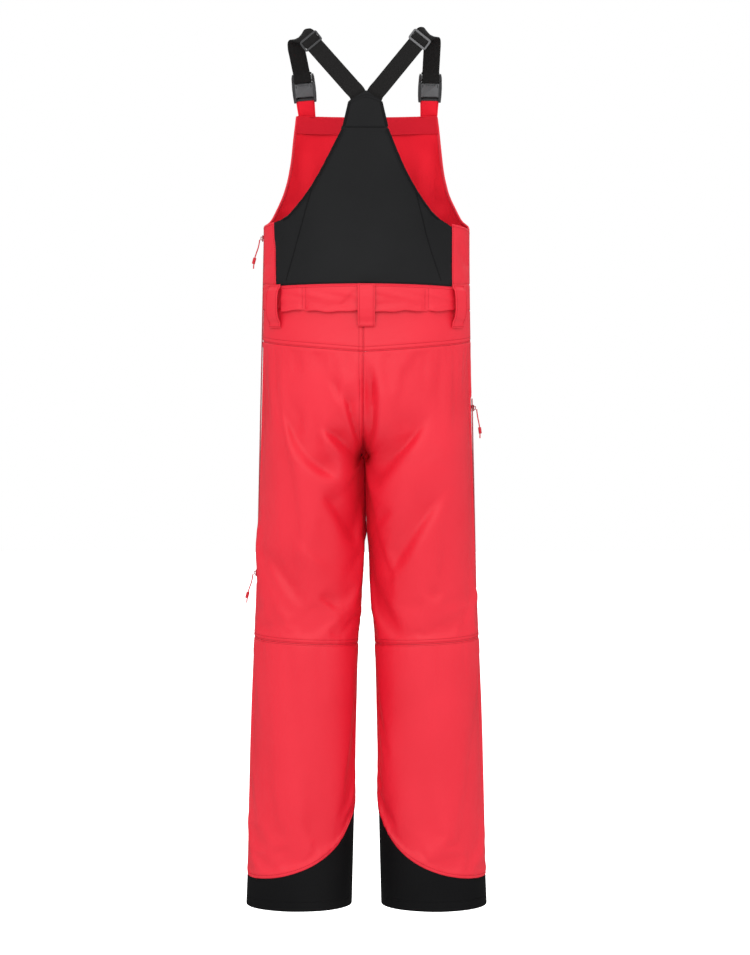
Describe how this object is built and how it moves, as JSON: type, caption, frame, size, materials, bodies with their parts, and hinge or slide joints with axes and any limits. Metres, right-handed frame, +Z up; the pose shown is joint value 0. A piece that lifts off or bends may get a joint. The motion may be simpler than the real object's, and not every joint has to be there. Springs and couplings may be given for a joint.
{
  "type": "bib ski pants",
  "caption": "Insulated bib ski pants with crossed elastic shoulder straps, side-release buckles, a long side zip, a thigh vent zip and reinforced kick-patch cuffs.",
  "frame": {"origin": "centre of the waist opening, halfway up the waistband", "axes": "+Z up along the body, +X to the wearer's left, -Y to the wearer's front"},
  "size_m": [0.4155, 0.2472, 1.5064],
  "materials": {
    "red_shell": "woven shell, slightly brushed",
    "red_facing": "smooth lining",
    "black_stretch": "matt stretch softshell",
    "black_cuff": "heavy reinforced weave",
    "webbing": "ribbed elastic webbing",
    "gaiter": "thin woven lining",
    "buckle_plastic": "fine grained moulding",
    "zip_tape": "coated zip tape",
    "zip_teeth": "coil",
    "zip_slider": "satin enamel",
    "pull_cord": "braided cord",
    "pull_bead": "soft moulding"
  },
  "bodies": {
    "garment": {"front_bib_panel": "red_shell", "front_bib_facing": "red_facing", "back_bib_panel": "black_stretch", "back_bib_yoke": "black_stretch", "left_side_panel": "red_shell", "right_side_panel": "red_shell", "waistband_back": "red_shell", "waistband_front": "red_shell", "waistband_tunnel": "red_shell", "belt_loop_back": "red_shell", "belt_loop_left": "red_shell", "belt_loop_right": "red_shell", "belt_loop_front_left": "red_shell", "belt_loop_front_right": "red_shell", "left_cuff_back": "black_cuff", "left_lower_leg_back": "red_shell", "left_cuff_front": "black_cuff", "left_lower_leg_front": "red_shell", "left_thigh_back": "red_shell", "left_hip_yoke": "red_shell", "left_thigh_front": "red_shell", "left_snow_gaiter": "gaiter", "left_strap": "webbing", "left_buckle_socket": "buckle_plastic", "left_strap_tab": "red_shell", "right_cuff_back": "black_cuff", "right_lower_leg_back": "red_shell", "right_cuff_front": "black_cuff", "right_lower_leg_front": "red_shell", "right_thigh_back": "red_shell", "right_hip_yoke": "red_shell", "right_thigh_front": "red_shell", "right_snow_gaiter": "gaiter", "right_strap": "webbing", "right_buckle_socket": "buckle_plastic", "right_strap_tab": "red_shell", "side_zip_tape": "zip_tape", "side_zip_chain": "zip_teeth", "vent_zip_tape": "zip_tape", "vent_zip_chain": "zip_teeth", "fly_zip_tape": "zip_tape", "fly_zip_chain": "zip_teeth", "chest_pocket": "red_shell", "chest_zip_tape": "zip_tape", "chest_zip_chain": "zip_teeth"},
    "side_zip_upper_slider": {"side_zip_upper_slider": "zip_slider"},
    "side_zip_upper_pull": {"side_zip_upper_pull_cord": "pull_cord", "side_zip_upper_pull_bead": "pull_bead"},
    "side_zip_lower_slider": {"side_zip_lower_slider": "zip_slider"},
    "side_zip_lower_pull": {"side_zip_lower_pull_cord": "pull_cord", "side_zip_lower_pull_bead": "pull_bead"},
    "vent_zip_slider": {"vent_zip_slider": "zip_slider"},
    "vent_zip_pull": {"vent_zip_pull_cord": "pull_cord", "vent_zip_pull_bead": "pull_bead"},
    "fly_zip_slider": {"fly_zip_slider": "zip_slider"},
    "chest_zip_slider": {"chest_zip_slider": "zip_slider"},
    "left_strap_adjuster": {"left_strap_adjuster": "buckle_plastic"},
    "left_buckle_prong": {"left_buckle_prong": "buckle_plastic"},
    "right_strap_adjuster": {"right_strap_adjuster": "buckle_plastic"},
    "right_buckle_prong": {"right_buckle_prong": "buckle_plastic"}
  },
  "joints": [
    {"name": "side_zip_upper_slide", "type": "slide", "parent": "garment", "child": "side_zip_upper_slider", "axis": [0.0214, 0, -0.9998], "range_m": [0, 0.25]},
    {"name": "side_zip_upper_pull_swing", "type": "hinge", "parent": "side_zip_upper_slider", "child": "side_zip_upper_pull", "pos_m": [0.18072, 0, 0.10109], "axis": [0, -1, 0], "range_deg": [-5, 100]},
    {"name": "side_zip_lower_slide", "type": "slide", "parent": "garment", "child": "side_zip_lower_slider", "axis": [-0.0214, 0, 0.9998], "range_m": [0, 0.24]},
    {"name": "side_zip_lower_pull_swing", "type": "hinge", "parent": "side_zip_lower_slider", "child": "side_zip_lower_pull", "pos_m": [0.193, 0, -0.47178], "axis": [0, -1, 0], "range_deg": [-5, 100]},
    {"name": "vent_zip_slide", "type": "slide", "parent": "garment", "child": "vent_zip_slider", "axis": [-0.0215, 0, -0.9998], "range_m": [0, 0.3]},
    {"name": "vent_zip_pull_swing", "type": "hinge", "parent": "vent_zip_slider", "child": "vent_zip_pull", "pos_m": [-0.18693, 0, -0.18891], "axis": [0, 1, 0], "range_deg": [-5, 100]},
    {"name": "fly_zip_slide", "type": "slide", "parent": "garment", "child": "fly_zip_slider", "axis": [0, -0.0656, -0.9978], "range_m": [0, 0.1]},
    {"name": "chest_zip_slide", "type": "slide", "parent": "garment", "child": "chest_zip_slider", "axis": [0, -0.0476, -0.9989], "range_m": [0, 0.135]},
    {"name": "left_strap_adjust", "type": "slide", "parent": "garment", "child": "left_strap_adjuster", "axis": [-0.5581, 0.4813, -0.676], "range_m": [0, 0.07]},
    {"name": "left_buckle_release", "type": "slide", "parent": "garment", "child": "left_buckle_prong", "axis": [0.0718, 0.4113, 0.9086], "range_m": [0, 0.024], "deforming": ["left_strap"]},
    {"name": "right_strap_adjust", "type": "slide", "parent": "garment", "child": "right_strap_adjuster", "axis": [0.5302, 0.484, -0.6961], "range_m": [0, 0.07]},
    {"name": "right_buckle_release", "type": "slide", "parent": "garment", "child": "right_buckle_prong", "axis": [-0.0133, 0.4055, 0.914], "range_m": [0, 0.024], "deforming": ["right_strap"]}
  ]
}
